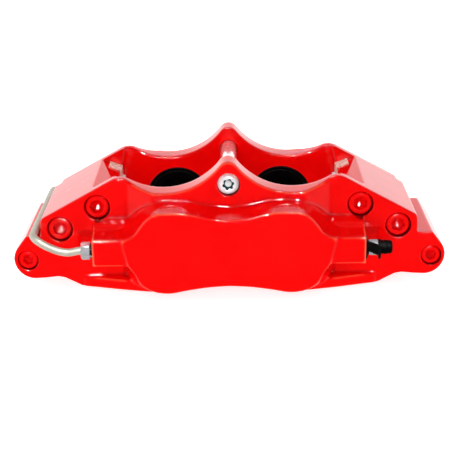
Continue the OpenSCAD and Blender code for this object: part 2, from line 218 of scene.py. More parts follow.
def black_rubber(name, color, sheen):
    """Moulded rubber: fine grain, dusty tone, lighter on edges, and a dull skin."""
    s = Shader(name, color, roughness=0.5, Specular_IOR_Level=0.06, Sheen_Weight=sheen, Sheen_Roughness=0.4)
    dusty = tuple(2.5 * c for c in color)
    tone = s.tint(s.spread(s.noise(300, 5), 0.4, 0.7, 0, 0.7), color, dusty)
    s.color(s.tint(s.spread(s.edges(), 0.53, 0.62, 0, 0.5), tone, (0.012, 0.009, 0.007)))
    s.roughness(s.spread(s.noise(500, 4), 0.3, 0.7, 0.38, 0.62))
    s.bump(s.noise(2600, 3), 0.02)
    return s.mat


def anodised(name):
    """Hard black anodised aluminium with turned rings that catch the light."""
    s = Shader(name, (0.001, 0.001, 0.001), metallic=0.1, roughness=0.45, Specular_IOR_Level=0.02)
    rings = s.noise(1.0, 4, vector=s.stretched((60, 2600, 60)))
    s.color(s.tint(s.spread(rings, 0.35, 0.7, 0, 1), (0.0006, 0.0006, 0.0007), (0.0018, 0.0018, 0.0020)))
    s.roughness(s.spread(s.noise(240, 4), 0.3, 0.7, 0.32, 0.48))
    s.bump(rings, 0.008)
    return s.mat


MATERIALS = {
    "body_paint": powder_coat("body_paint", 0.5),
    "bolt_paint": powder_coat("bolt_paint", 0.25),
    "zinc_steel": plated("zinc_steel", (0.52, 0.54, 0.56), (0.90, 0.93, 0.96), (0.12, 0.25), (500, 500, 900),
                         0.6, (0.01, 0.01, 0.01)),
    "dowel_steel": plated("dowel_steel", (0.40, 0.40, 0.40), (0.66, 0.66, 0.66), (0.2, 0.34), (80, 900, 80)),
    "stainless_insert": plated("stainless_insert", (0.42, 0.41, 0.38), (0.72, 0.72, 0.70), (0.2, 0.36),
                               (300, 900, 300)),
    "plated_tube": plated("plated_tube", (0.40, 0.38, 0.31), (0.72, 0.70, 0.60), (0.34, 0.50),
                          (150, 150, 150), 0.25),
    "stainless_tube": plated("stainless_tube", (0.80, 0.80, 0.80), (0.95, 0.95, 0.95), (0.10, 0.16),
                             (900, 40, 900), 0.72),
    "stainless_plate": plated("stainless_plate", (0.80, 0.76, 0.64), (0.97, 0.94, 0.84), (0.2, 0.36),
                              (400, 60, 60), 0.25),
    "bright_bolt": plated("bright_bolt", (0.76, 0.80, 0.82), (0.97, 0.98, 0.99), (0.14, 0.26), (700, 60, 700),
                          0.2, (0.01, 0.05, 0.06)),
    "piston_anodised": anodised("piston_anodised"),
    "seal_rubber": black_rubber("seal_rubber", (0.014, 0.014, 0.014), 0.05),
    "boot_rubber": black_rubber("boot_rubber", (0.0008, 0.0008, 0.001), 0.0),
    "cap_rubber": black_rubber("cap_rubber", (0.0010, 0.0009, 0.0009), 0.0),
}
record = frame["record"]
SLOT_OF = {part["node"]: part["material_slot"] for part in record["subparts"]}


# ---------------------------------------------------------------- mesh helpers

SHARP_DEG = 38
ARC_STEPS = 4
# A screw head's side gets painted shade below this distance from its top, and no head lies less deep
HEAD_SHADE_FROM = 0.8
LOWEST_HEAD = 30
# Groove below the hexagon of a tube nut or bleed screw, counted from the middle plane
GROOVE = (82.9, 85.0)
GROOVE_R = 4.6


def dress(piece, slot):
    """Puts a piece in the scene with the material of its slot."""
    piece.data.materials.append(MATERIALS[slot])
    bpy.context.scene.collection.objects.link(piece)


def finish_piece(piece, node, body):
    """Dresses a piece, ties it to its CAD body and puts it in place of its CAD node."""
    dress(piece, SLOT_OF[node])
    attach(piece, body)
    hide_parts(node)


def mesh_of(name, points, faces, sharp_deg=SHARP_DEG):
    """A mesh object from points in millimetres, smooth apart from its sharp edges."""
    data = bpy.data.meshes.new(name)
    data.from_pydata([tuple(c * MM for c in p) for p in points], [], faces)
    work = bmesh.new()
    work.from_mesh(data)
    bmesh.ops.recalc_face_normals(work, faces=work.faces)
    work.to_mesh(data)
    work.free()
    data.shade_smooth()
    data.set_sharp_from_angle(angle=math.radians(sharp_deg))
    return bpy.data.objects.new(name, data)


def store(data, name, values):
    """Stores one value for each vertex, which the materials read by its name."""
    layer = data.attributes.new(name, "FLOAT", "POINT")
    layer.data.foreach_set("value", np.asarray(values, np.float32))


def spots_of(piece):
    """The piece's vertices in millimetres."""
    return np.array([v.co[:] for v in piece.data.vertices]) / MM


def gap_shade(across, rise):
    """Painted shadow, deepest in the lower right of the gap round a screw head."""
    lean = (across * 0.6 - rise * 0.8) / np.maximum(np.hypot(across, rise), 0.1)
    return -0.1 - 0.7 * np.clip(0.2 + lean, 0, 1)


def shade_head(piece, at, head_top, socket_r, floor_depth, side_r, dark, bright_r=0.0):
    """Paints shade on the floor of a screw head's socket, and a painted shadow on the head's side down in its
    counterbore.
    """
    spots = spots_of(piece)
    depth = MID - spots[:, 1]
    across, rise = spots[:, 0] - at[0], spots[:, 2] - at[1]
    radius = np.hypot(across, rise)
    head = depth > LOWEST_HEAD
    floor = (radius < socket_r) & (radius > bright_r) & (depth < head_top - floor_depth) & head
    beside = (radius > side_r) & (depth < head_top - HEAD_SHADE_FROM)
    relief = np.where(floor, dark, np.where(beside, gap_shade(across, rise), 0.0))
    store(piece.data, "relief", relief)


def shade_groove(piece):
    """Paints shade into the groove below the hexagon of a port's nut or bleed screw."""
    spots = spots_of(piece)
    radius = np.hypot(np.abs(spots[:, 1] - MID) - PORT[0], spots[:, 2] - PORT[1])
    across = np.abs(spots[:, 0])
    groove = (across > GROOVE[0]) & (across < GROOVE[1]) & (radius < GROOVE_R)
    store(piece.data, "relief", np.where(groove, -1.0, 0.0))


def rounded(profile):
    """Replaces each corner (radius, height, fillet) of a profile by a small arc."""
    out = []
    n = len(profile)
    for i, corner in enumerate(profile):
        here = Vector(corner[:2])
        if len(corner) < 3 or i in (0, n - 1):
            out.append(tuple(here))
            continue
        before = Vector(profile[i - 1][:2]) - here
        after = Vector(profile[i + 1][:2]) - here
        cut = min(corner[2], before.length * 0.49, after.length * 0.49)
        start, end = here + before.normalized() * cut, here + after.normalized() * cut
        for k in range(ARC_STEPS + 1):
            t = k / ARC_STEPS
            out.append(tuple((1 - t) ** 2 * start + 2 * t * (1 - t) * here + t * t * end))
    return out


def loft(name, loops, origin, axis, across, sides=72, closed=False, turn=0.0, sharp_deg=SHARP_DEG):
    """Rings round an axis, each (radius or a function of angle, height), joined into one skin."""
    along, first = Vector(axis), Vector(across)
    second = along.cross(first)
    points, faces = [], []
    for radius, height in loops:
        for k in range(sides):
            angle = 2 * math.pi * k / sides
            r = radius(angle) if callable(radius) else radius
            spot = first * r * math.cos(angle + turn) + second * r * math.sin(angle + turn)
            points.append(Vector(origin) + along * height + spot)
    count = len(loops)
    for i in range(count if closed else count - 1):
        a, b = i * sides, (i + 1) % count * sides
        for k in range(sides):
            j = (k + 1) % sides
            faces.append((a + k, a + j, b + j, b + k))
    if not closed:
        faces.append(tuple(range(sides)))
        faces.append(tuple((count - 1) * sides + k for k in range(sides)))
    return mesh_of(name, points, faces, sharp_deg)


def hexagon(flats, most=100.0):
    """Radius of a hexagon of that width across flats, its corners cut back to a circle."""
    def radius(angle):
        inner = (angle + math.pi / 6) % (math.pi / 3) - math.pi / 6
        return min(flats / 2 / math.cos(inner), most)
    return radius


def lobes(outer, inner):
    """Radius of a six-lobed recess."""
    def radius(angle):
        wave = math.cos(6 * angle)
        return (outer + inner) / 2 + (outer - inner) / 2 * math.copysign(abs(wave) ** 0.75, wave)
    return radius


def tongue(round_r, reach, middle):
    """Radius of a round collar with one broad tongue."""
    def radius(angle):
        swing = (angle - middle + math.pi) % (2 * math.pi) - math.pi
        return round_r + (reach - round_r) * math.exp(-(swing / 0.45) ** 2)
    return radius


def notched(angle):
    """Radius of a ring with twelve notches."""
    return 4.4 if math.cos(12 * angle) > -0.2 else 3.7


def mixed(first, second, share):
    """A ring part of the way between two others."""
    def radius(angle):
        a = first(angle) if callable(first) else first
        b = second(angle) if callable(second) else second
        return a + (b - a) * share
    return radius


def thread(low, high, crest, depth, pitch, steps=8):
    """Rings of a real helical thread between two heights."""
    count = max(2, round((high - low) / pitch * steps))

    def ring(height):
        def radius(angle):
            phase = (height / pitch - angle / (2 * math.pi)) % 1.0
            run_in = min(1.0, (height - low) / pitch, (high - height) / pitch)
            return crest - depth * max(0.0, run_in) * abs(2 * phase - 1)
        return radius
    heights = [low + (high - low) * i / count for i in range(count + 1)]
    return [(ring(h), h) for h in heights]


def smooth_path(points, steps):
    """A curve through every point."""
    pts = [Vector(p) for p in points]
    out = []
    for i in range(len(pts) - 1):
        a, b, c = pts[max(0, i - 1)], pts[i], pts[i + 1]
        d = pts[min(len(pts) - 1, i + 2)]
        for k in range(steps):
            t = k / steps
            out.append(0.5 * (2 * b + (c - a) * t + (2 * a - 5 * b + 4 * c - d) * t * t
                              + (3 * b - a - 3 * c + d) * t ** 3))
    return out + [pts[-1]]


def swept(name, path, section, sharp_deg):
    """A section (list of (side, up) pairs) carried upright along a path."""
    points, faces = [], []
    m = len(section)
    for i, here in enumerate(path):
        ahead = (path[min(i + 1, len(path) - 1)] - path[max(i - 1, 0)]).normalized()
        side = Vector((0, 0, 1)).cross(ahead).normalized()
        rise = ahead.cross(side)
        points += [here + side * s + rise * u for s, u in section]
    for i in range(len(path) - 1):
        a, b = i * m, (i + 1) * m
        faces += [(a + k, a + (k + 1) % m, b + (k + 1) % m, b + k) for k in range(m)]
    faces += [tuple(range(m)), tuple((len(path) - 1) * m + k for k in range(m))]
    return mesh_of(name, points, faces, sharp_deg)


# ---------------------------------------------------------------- cast halves

VOXEL = 0.5
# Voxels on each side of the skin that hold its distance
BAND = 6.0
# Voxels of free room round the solid
MARGIN = 8
# Blur in millimetres that makes the fillets, on cast skin and near machined seats
CAST_BLUR = 0.75
CRISP_BLUR = 0.35
# How readily flat runs of the mesh are merged into bigger faces
ADAPTIVITY = 0.012
# Steps that move the mesh onto the zero of the field, and the least slope they divide by
SURFACE_STEPS = 3
LEAST_SLOPE = 0.05
# Voxels from the joint plane and from the skin within which a vertex belongs to the joint's edge
EDGE_FROM_PLANE = 0.8
EDGE_FROM_SKIN = 1.0
# Millimetres of surroundings that tell an edge from a flat face
RELIEF_REACH = 1.1

# Machined places: the two ends of each fade from crisp edges to soft ones
FLANGE_BACK = (29.5, 32.5)
SEAT_LIP = 1.0
SEAT_FADE = (0.0, 2.0)
PORT_FACE_R = 17.5
PORT_FACE_FADE = (80.5, 82.5)
RELIEF_FADE = (0.5, 2.0)
RELIEF_RISE = (34.5, 36.5)

# Painted edge highlight and shade count from the joint outwards, the highlight most on the flank of the
# raised housing
JOINT_FADE = (2, 5)
HOUSING_FLANK = (38.5, 41)
LEAST_EDGE_SHARE = 0.45
# Round a screw head: the rim's width and relief, and the wall below it with painted shadow
SEAT_RIM = 2.2
SEAT_RIM_RELIEF = 0.1
SEAT_WALL = 0.25
SEAT_WALL_FROM = 12
# The round scoop beside a port: radius, width of its edge with painted shade, and where that lies
SCOOP_R = 15.8
SCOOP_EDGE = 0.5
SCOOP_SPAN = (83.4, 94)
SCOOP_RISE = (PORT[1] + 2.5, PORT[1] + 4)
SCOOP_SHADE = -0.3
# The floor of a relief pocket, lightened with a painted reflection: its height, spill beyond the rim, and
# least upward slope
RELIEF_FLOOR = (34.5, 40.5)
RELIEF_SPILL = 0.3
FACING_UP = 0.9


def blurred(field, sigma):
    """The field smoothed by a Gaussian of that many voxels."""
    reach = math.ceil(3 * sigma)
    kernel = np.exp(-0.5 * (np.arange(-reach, reach + 1) / sigma) ** 2)
    kernel /= kernel.sum()
    for axis in range(3):
        padding = [(reach, reach) if a == axis else (0, 0) for a in range(3)]
        padded = np.pad(field, padding, mode="edge")
        length = field.shape[axis]
        out = np.zeros_like(field)
        for i, weight in enumerate(kernel):
            window = [slice(None)] * 3
            window[axis] = slice(i, i + length)
            out += np.float32(weight) * padded[tuple(window)]
        field = out
    return field


def ramp(values, low, high):
    """0 below low, 1 above high, a smooth step between."""
    t = np.clip((values - low) / (high - low), 0, 1)
    return t * t * (3 - 2 * t)


def machined_places(x, h, z):
    """1 on cast skin, 0 close to the machined seats and holes, where edges stay crisp."""
    soft = ramp(h, *FLANGE_BACK)
    for sx, sz, r in SEATS:
        gap = np.hypot(np.abs(x) - sx, z - sz) - r - SEAT_LIP
        soft = soft * ramp(gap, *SEAT_FADE)
    port = np.hypot(h - PORT[0], z - PORT[1]) - PORT_FACE_R
    near_port = (1 - ramp(port, *SEAT_FADE)) * ramp(np.abs(x), *PORT_FACE_FADE)
    pocket = np.hypot(np.abs(x) - RELIEF[0], h - RELIEF[1]) - RELIEF[2]
    near_pocket = (1 - ramp(pocket, *RELIEF_FADE)) * ramp(z, *RELIEF_RISE)
    return soft * (1 - near_port) * (1 - near_pocket)


def sampled(field, spots):
    """Trilinear values of the field at fractional voxel positions."""
    base = np.clip(np.floor(spots).astype(int), 0, np.array(field.shape) - 2)
    part = spots - base
    total = 0
    for dx in (0, 1):
        for dy in (0, 1):
            for dz in (0, 1):
                share = (np.abs(1 - dx - part[:, 0]) * np.abs(1 - dy - part[:, 1])
                         * np.abs(1 - dz - part[:, 2]))
                total = total + share * field[base[:, 0] + dx, base[:, 1] + dy, base[:, 2] + dz]
    return total


def onto_surface(field, spots):
    """Moves spots to where the field is zero, and gives its slope there."""
    slope = np.gradient(field)
    for _ in range(SURFACE_STEPS):
        value = sampled(field, spots)
        normal = np.stack([sampled(g, spots) for g in slope], 1)
        spots = spots - normal * (value / np.maximum((normal ** 2).sum(1), LEAST_SLOPE))[:, None]
    return spots, np.stack([sampled(g, spots) for g in slope], 1)


def paint_state(spots, depth, normal, relief):
    """Relief for painted highlight and shade, and the painted reflection of the pocket floors, with what the
    shape alone doesn't tell: the joint, gaps and pockets.
    """
    across, rise = np.abs(spots[:, 0]), spots[:, 2]
    relief = relief * np.clip((depth - JOINT_FADE[0]) / (JOINT_FADE[1] - JOINT_FADE[0]), 0, 1)
    # The painted edge highlight is strong mostly on the edges of the raised housing, much less on the
    # flange's outline
    edge_share = LEAST_EDGE_SHARE + (1 - LEAST_EDGE_SHARE) * ramp(depth, *HOUSING_FLANK)
    relief = np.where(relief > 0, relief * edge_share, relief)
    outboard = spots[:, 1] < MID
    for sx, sz, r in SEATS:
        for s in (-1, 1):
            x, z = spots[:, 0] - s * sx, rise - sz
            gap = np.hypot(x, z) - r
            near = outboard & (gap < SEAT_RIM)
            relief[near] = np.minimum(relief[near], SEAT_RIM_RELIEF)
            # Painted shadow on the seat wall below each head
            wall = outboard & (gap < SEAT_WALL) & (depth > SEAT_WALL_FROM)
            relief[wall] = gap_shade(x[wall], z[wall])
    # Painted shade along the upper edge of the scoop beside a port
    from_port = np.hypot(depth - PORT[0], rise - PORT[1])
    scoop = (across > SCOOP_SPAN[0]) & (across < SCOOP_SPAN[1]) & (np.abs(from_port - SCOOP_R) < SCOOP_EDGE)
    relief = np.where(scoop, np.minimum(relief, SCOOP_SHADE * ramp(rise, *SCOOP_RISE)), relief)
    # Painted reflection: the upward floors of the relief pockets are lit lighter
    pocket = np.hypot(across - RELIEF[0], depth - RELIEF[1]) < RELIEF[2] + RELIEF_SPILL
    floor = pocket & (normal[:, 2] > FACING_UP) & (rise > RELIEF_FLOOR[0]) & (rise < RELIEF_FLOOR[1])
    return relief, floor


def cast_half(side):
    """The body half with cast fillets, made from its exact CAD solid, with the relief for its painted edge
    highlights and shade.
    """
    node = side + "_body"
    cad = frame["nodes"][node].data
    corners = np.empty(len(cad.vertices) * 3, np.float32)
    cad.vertices.foreach_get("co", corners)
    corners = corners.reshape(-1, 3) / (MM * VOXEL)
    cad.calc_loop_triangles()
    triangles = np.empty(len(cad.loop_triangles) * 3, np.int32)
    cad.loop_triangles.foreach_get("vertices", triangles)
    grid = openvdb.FloatGrid.createLevelSetFromPolygons(
        corners, triangles=triangles.reshape(-1, 3).astype(np.uint32), halfWidth=BAND)
    low = np.floor(corners.min(0)).astype(int) - MARGIN
    high = np.ceil(corners.max(0)).astype(int) + MARGIN
    field = np.full(high - low, BAND, np.float32)
    grid.copyToArray(field, ijk=tuple(int(v) for v in low))
    x, y, z = (np.arange(low[a], high[a], dtype=np.float32) * VOXEL for a in range(3))
    x, h, z = x[:, None, None], np.abs(y - MID)[None, :, None], z[None, None, :]
    # The two halves were coated together, so the joint face cuts the finished shape off sharply
    outward = (y - MID) * SIDES[side]
    joint = int(np.argmin(np.abs(outward - VOXEL * BAND)))
    field[:, outward < VOXEL * BAND, :] = field[:, joint:joint + 1, :]
    soft = machined_places(x, h, z)
    whole = blurred(field, CAST_BLUR / VOXEL) * soft + blurred(field, CRISP_BLUR / VOXEL) * (1 - soft)
    field = np.maximum(whole, -(outward / VOXEL)[None, :, None]).astype(np.float32)
    grid = openvdb.FloatGrid(BAND)
    grid.copyFromArray(field, ijk=tuple(int(v) for v in low), tolerance=1e-4)
    points, tris, quads = grid.convertToPolygons(isovalue=0.0, adaptivity=ADAPTIVITY)
    spots, normal = onto_surface(field, points - low)
    # The skin meets the joint face in a sharp edge, so that the two halves close up without a groove
    middle = MID / VOXEL - low[1]
    edge = ((np.abs(spots[:, 1] - middle) < EDGE_FROM_PLANE)
            & (np.abs(sampled(whole, spots)) < EDGE_FROM_SKIN))
    spots[edge, 1] = middle
    spots[edge], normal[edge] = onto_surface(whole, spots[edge])
    normal /= np.linalg.norm(normal, axis=1)[:, None]
    # Where the surroundings hold less metal than a flat face has, the surface stands out
    relief = sampled(blurred(field, RELIEF_REACH / VOXEL), spots) * VOXEL
    spots = (spots + low) * VOXEL
    relief, painted_reflection = paint_state(spots, (spots[:, 1] - MID) * SIDES[side], normal, relief)
    data = bpy.data.meshes.new(node + "_cast")
    faces = quads.tolist() + tris.tolist()
    data.from_pydata((spots * MM).tolist(), [], faces)
    store(data, "relief", relief)
    store(data, "painted_reflection", painted_reflection)
    data.shade_smooth()
    data.normals_split_custom_set_from_vertices(normal.tolist())
    finish_piece(bpy.data.objects.new(node + "_cast", data), node, "caliper")


for side in SIDES:
    cast_half(side)


# ---------------------------------------------------------------- bolts

OUTBOARD = (0, SIDES["outboard"], 0)
WASHER_THICK = 1.5
BRIDGE_SEAT = 28
LUG_SEAT = 29


def socket_screw(name, node, at, seat, tip, head_r, shank_r, key):
    """Socket head screw: rounded head, hexagon socket with a drilled bottom, threaded tip."""
    top = HEAD_TOP
    loops = rounded([(0.3, tip), (shank_r - 0.8, tip, 0.2), (shank_r - 0.05, tip + 0.8, 0.2)])
    loops += thread(tip + 1, tip + 24, shank_r, 0.45, 1.5 if shank_r > 4.5 else 1.25, 6)
    loops += rounded([(shank_r, tip + 24.3), (shank_r, seat + 0.01, 0.3), (head_r - 0.35, seat + 0.02, 0.2),
                      (head_r, seat + 0.4, 0.2), (head_r, top - 0.75, 0.7), (head_r - 0.9, top, 0.8),
                      (key / 2 + 0.95, top)])
    flat = hexagon(key, key / 2 / math.cos(math.pi / 6) - 0.12)
    rim = key / 2 + 0.85
    loops += [(mixed(rim, flat, 0.25), top - 0.02), (mixed(rim, flat, 0.7), top - 0.14),
              (mixed(rim, flat, 0.93), top - 0.35), (flat, top - 0.7), (flat, top - 4.4),
              (mixed(flat, key / 2 - 0.3, 0.9), top - 4.6), (key / 2 - 0.6, top - 4.75)]
    # The socket's bottom is drilled with a plain 118 degree point
    loops += [(r, top - 4.8 - (key / 2 - 0.75 - r) * 0.6) for r in (key / 2 - 0.75, key / 2 - 1, 0.5, 0.2)]
    # Each screw stopped at its own turn
    piece = loft(name, loops, (at[0], MID, at[1]), OUTBOARD, (1, 0, 0), 72, turn=0.3 + at[0] * 0.37,
                 sharp_deg=50)
    shade_head(piece, at, top, socket_r=key / 2 + 0.7, floor_depth=4.2, side_r=head_r - 0.3, dark=-0.18)
    finish_piece(piece, node, "caliper")


def washer(name, node, at, seat, outer, inner):
    """A washer with broken edges, under a head that sits at that depth."""
    low, high, edge = seat - WASHER_THICK, seat, 0.3
    loops = rounded([(inner, (low + high) / 2), (inner, low, edge), (outer, low, edge), (outer, high, edge),
                     (inner, high, edge), (inner, (low + high) / 2 + 0.01)])
    piece = loft(name, loops, (at[0], MID, at[1]), OUTBOARD, (1, 0, 0), 64, closed=True)
    finish_piece(piece, node, "caliper")


for end, s in ENDS.items():
    for place, (bx, bz) in zip(("upper", "lower"), BRIDGE_BOLTS):
        label = f"{place}_{end}"
        socket_screw("bridge_bolt_" + label, "bridge_bolts", (s * bx, bz), seat=BRIDGE_SEAT, tip=-25,
                     head_r=7.15, shank_r=4.75, key=7.94)
        washer("bridge_bolt_washer_" + label, "bridge_bolt_washers", (s * bx, bz), BRIDGE_SEAT, 7.65, 4.95)
    socket_screw("lug_bolt_" + end, "lug_bolts", (s * LUG_BOLT[0], 0), seat=LUG_SEAT, tip=-13,
                 head_r=5.95, shank_r=4, key=6.35)
    washer("lug_bolt_washer_" + end, "lug_bolt_washers", (s * LUG_BOLT[0], 0), LUG_SEAT, 6.2, 4.2)
    inner = thread(-12.7, -0.3, 4.72, -0.75, 1.814)
    shell = rounded([(4.9, -0.02), (6.1, 0.0, 0.1), (6.2, -0.4, 0.1), (6.2, -12.9, 0.1), (4.9, -13.0)])
    insert = loft("thread_insert_" + end, inner + shell, (s * LUG_BOLT[0], 0, 0), (0, 1, 0), (1, 0, 0), 48,
                  closed=True)
    finish_piece(insert, "mounting_thread_inserts", "caliper")


# ---------------------------------------------------------------- pistons and boots

for side, sign in SIDES.items():
    for end, s in ENDS.items():
        label = f"{side}_{end}"
        middle = (s * BORE[0], MID, BORE[1])
        cup = rounded([(0.2, 44.2), (13.5, 44.2, 1.6), (13.5, 33.2, 0.9), (17.46, 33.2, 0.6),
                       (17.46, 35.1, 0.1), (16.9, 35.3, 0.2), (16.9, 36.6, 0.2), (17.46, 36.8, 0.1),
                       (17.46, 50.2, 0.7), (9.0, 50.2, 0.4), (9.0, 48.2, 0.5), (0.2, 48.2)])
        piston = loft("piston_cup_" + label, cup, middle, (0, sign, 0), (1, 0, 0), 96)
        finish_piece(piston, "piston_" + label, "piston_" + label)
        bellows = rounded([(17.62, 34.4), (17.62, 32.7, 0.4), (17.9, 32.35, 0.3), (18.35, 32.35, 0.3),
                           (18.55, 33.4, 0.3), (18.9, 33.75, 0.3), (19.25, 33.4, 0.3), (19.45, 32.5, 0.3),
                           (19.8, 32.32, 0.3), (20.3, 32.32, 0.3), (20.45, 32.7, 0.2), (20.45, 35.9, 0.2),
                           (17.62, 35.9, 0.2), (17.62, 34.5)])
        boot = loft("dust_boot_bellows_" + label, bellows, middle, (0, sign, 0), (1, 0, 0), 96, closed=True)
        finish_piece(boot, "dust_boot_" + label, "caliper")


# ---------------------------------------------------------------- crossover tube and nuts

TUBE_R = 2.38
NUT_FLATS = 9.525
TUBE_ROUTE = [(71.5, 52, 11.3), (90.5, 52, 11.3), (94.5, 52, 10.8), (98.5, 52, 10.2), (103, 52, 10.9),
              (107, 52, 12.3), (111, 52, 14.2), (115, 51.6, 16.5), (118.4, 49.4, 18.2), (120.2, 45.6, 18.9),
              (120.6, 40, 18.9), (120.6, 0, 18.9)]
outboard_run = [(-px, MID - depth, pz) for px, depth, pz in TUBE_ROUTE]
route = outboard_run + [(px, 2 * MID - py, pz) for px, py, pz in reversed(outboard_run[:-1])]
turns = [2 * math.pi * k / 28 for k in range(28)]
circle = [(TUBE_R * math.cos(turn), TUBE_R * math.sin(turn)) for turn in turns]
tube = swept("brake_tube", smooth_path(route, 8), circle, sharp_deg=80)
finish_piece(tube, "crossover_tube", "caliper")

for side, sign in SIDES.items():
    middle = (0, MID + sign * PORT[0], PORT[1])
    loops = [(2.46, 71.0), (2.9, 70.6), (3.9, 70.6)]
    loops += thread(71.4, 82.9, 4.42, 0.42, 1.0)
    loops += [(3.9, 83.05), (notched, 83.1), (notched, 84.7), (3.9, 84.75), (4.5, 84.82)]
    loops += [(hexagon(NUT_FLATS, most), height) for most, height in
              ((4.95, 84.95), (5.2, 85.15), (5.5, 85.5), (5.5, 89.5), (5.2, 90.0), (4.85, 90.25))]
    loops += [(4.4, 90.38), (3.0, 90.4), (2.62, 90.3), (2.46, 90.0)]
    nut = loft("tube_nut_hex_" + side, loops, middle, (-1, 0, 0), (0, 1, 0), 72, closed=True, turn=0.35)
    shade_groove(nut)
    finish_piece(nut, "tube_nut_" + side, "caliper")


# ---------------------------------------------------------------- bleed screws, caps and tethers

for side, sign in SIDES.items():
    middle = (0, MID + sign * PORT[0], PORT[1])
    loops = [(0.2, 70.5), (1.2, 70.6), (3.3, 73.0)]
    loops += thread(73.4, 83.2, 3.97, 0.4, 1.25)
    loops += [(3.6, 83.4), (3.6, 84.7), (4.4, 84.95), (hexagon(9.5, 4.95), 85.05), (hexagon(9.5, 5.46), 85.6),
              (hexagon(9.5, 5.46), 90.0), (hexagon(9.5, 4.95), 90.5), (4.4, 90.6)]
    loops += rounded([(2.6, 90.62), (2.45, 90.8, 0.2), (2.45, 94.2, 0.3), (3.1, 94.6, 0.2),
                      (2.3, 98.4, 0.5), (0.95, 98.4, 0.1), (0.9, 95.0), (0.2, 94.8)])
    screw = loft("bleed_nipple_" + side, loops, middle, (1, 0, 0), (0, 1, 0), 72, turn=0.2)
    shade_groove(screw)
    finish_piece(screw, "bleed_screw_" + side, "bleed_screw_" + side)

    collar = tongue(5.0, 7.4, -math.pi / 2 + sign * 0.35)
    cap_loops = rounded([(3.4, 92.5), (3.4, 91.1, 0.2)])
    cap_loops += [(mixed(3.4, collar, 0.93), 91.12), (collar, 91.3), (collar, 92.2),
                  (mixed(4.2, collar, 0.9), 92.4)]
    cap_loops += rounded([(4.2, 92.45), (4.15, 92.7, 0.1), (4.3, 94.6, 0.2), (4.45, 95.1, 0.3),
                          (4.45, 95.7, 0.3), (4.2, 96.2, 0.2), (4.05, 98.5, 0.6), (3.5, 99.5, 0.6),
                          (0.2, 99.5)])
    inside = [(0.2, 98.75), (3.35, 98.6), (3.4, 98.2)]
    cap = loft("bleed_cap_sleeve_" + side, inside + cap_loops, middle, (1, 0, 0), (0, 1, 0), 64)
    finish_piece(cap, "bleed_cap_" + side, "bleed_cap_" + side)

    disc = loft("tether_ring_" + side,
                rounded([(4.95, 83.6), (4.95, 83.02, 0.3), (7.2, 83.02, 0.3), (7.2, 83.9, 0.35),
                         (5.9, 84.4, 0.3), (4.95, 84.4, 0.3), (4.95, 83.61)]),
                middle, (1, 0, 0), (0, 1, 0), 64, closed=True)
    finish_piece(disc, "cap_tether_" + side, "caliper")
    face = MID + sign * PORT[0]
    strap_path = smooth_path([(83.5, face + sign * 5.8, 14.2), (84.6, face + sign * 6.3, 14.3),
                              (87.0, face + sign * 6.6, 13.4), (89.6, face + sign * 6.0, 11.9),
                              (91.8, face + sign * 4.6, 10.7)], 6)
    outline = [(w * 0.7, t * 3.0) for w, t in
               ((-1, -0.8), (-0.8, -1), (0.8, -1), (1, -0.8), (1, 0.8), (0.8, 1), (-0.8, 1), (-1, 0.8))]
    strap = swept("tether_strap_" + side, strap_path, outline, sharp_deg=60)
    dress(strap, "cap_rubber")
    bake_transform(strap)


# ---------------------------------------------------------------- pad bridge and abutment hardware

pin = (0, MID, PIN_Z)
tube_loops = rounded([(3.3, 0), (3.3, -33.4, 0.3), (5.1, -33.4, 0.3), (5.1, 33.4, 0.3), (3.3, 33.4, 0.3),
                      (3.3, 0.01)])
finish_piece(loft("pad_bridge_sleeve", tube_loops, pin, (0, -1, 0), (1, 0, 0), 96, closed=True),
             "pad_bridge_tube", "caliper")

recess = lobes(3.6, 2.7)
loops = [(0.2, -51.0), (2.5, -51.0), (2.9, -50.5)]
loops += thread(-50.3, -38.0, 2.98, 0.35, 1.0)
loops += rounded([(2.98, -37.8), (2.98, 45.0, 0.2), (6.3, 45.0, 0.2), (6.5, 45.3, 0.2), (6.5, 46.1, 0.3),
                  (6.0, 46.6, 0.4), (5.5, 47.3, 0.5), (4.9, 48.1, 0.6), (4.2, 48.3)])
loops += [(mixed(4.1, recess, 0.3), 48.28), (mixed(4.1, recess, 0.8), 48.05), (recess, 47.7), (recess, 46.0),
          (mixed(recess, 2.0, 0.8), 45.8), (1.8, 45.8), (1.7, 46.6), (0.2, 46.7)]
screw = loft("pad_bridge_screw", loops, pin, (0, -1, 0), (1, 0, 0), 96, turn=0.25, sharp_deg=50)
# Painted shade fills the Torx recess, all but its bright middle
shade_head(screw, (0, PIN_Z), 48.3, socket_r=4.0, floor_depth=0.3, side_r=6.2, dark=-1.0, bright_r=1.9)
finish_piece(screw, "pad_bridge_bolt", "caliper")

loops = [(3.03, 45.4), (3.2, 45.05), (4.6, 45.0), (hexagon(10, 5.1), 45.2), (hexagon(10, 5.75), 45.6),
         (hexagon(10, 5.75), 48.2), (hexagon(10, 5.2), 48.6), (4.75, 48.75)]
loops += rounded([(4.6, 48.8), (4.6, 49.6, 0.4), (3.9, 50.0, 0.3), (3.05, 49.9, 0.1), (3.03, 47.0)])
finish_piece(loft("pad_bridge_nut", loops, pin, (0, 1, 0), (1, 0, 0), 72, closed=True, turn=0.4),
             "pad_bridge_locknut", "caliper")

for side, sign in SIDES.items():
    for end, s in ENDS.items():
        loops = rounded([(0.2, 3.4), (1.2, 3.4, 0.1), (1.47, 3.1, 0.1), (1.47, -1.0, 0.1), (2.75, -1.0, 0.15),
                         (2.8, -1.4, 0.2), (2.3, -2.9, 0.3), (1.35, -3.0)])
        socket = hexagon(2, 1.12)
        loops += [(mixed(1.3, socket, 0.7), -2.92), (socket, -2.7), (socket, -1.9), (0.1, -1.7)]
        screw = loft(f"abutment_screw_{side}_{end}", loops, (s * 71.5, MID + sign * 25, 33), (s, 0, 0),
                     (0, 1, 0), 48, sharp_deg=50)
        finish_piece(screw, "abutment_screws", "caliper")

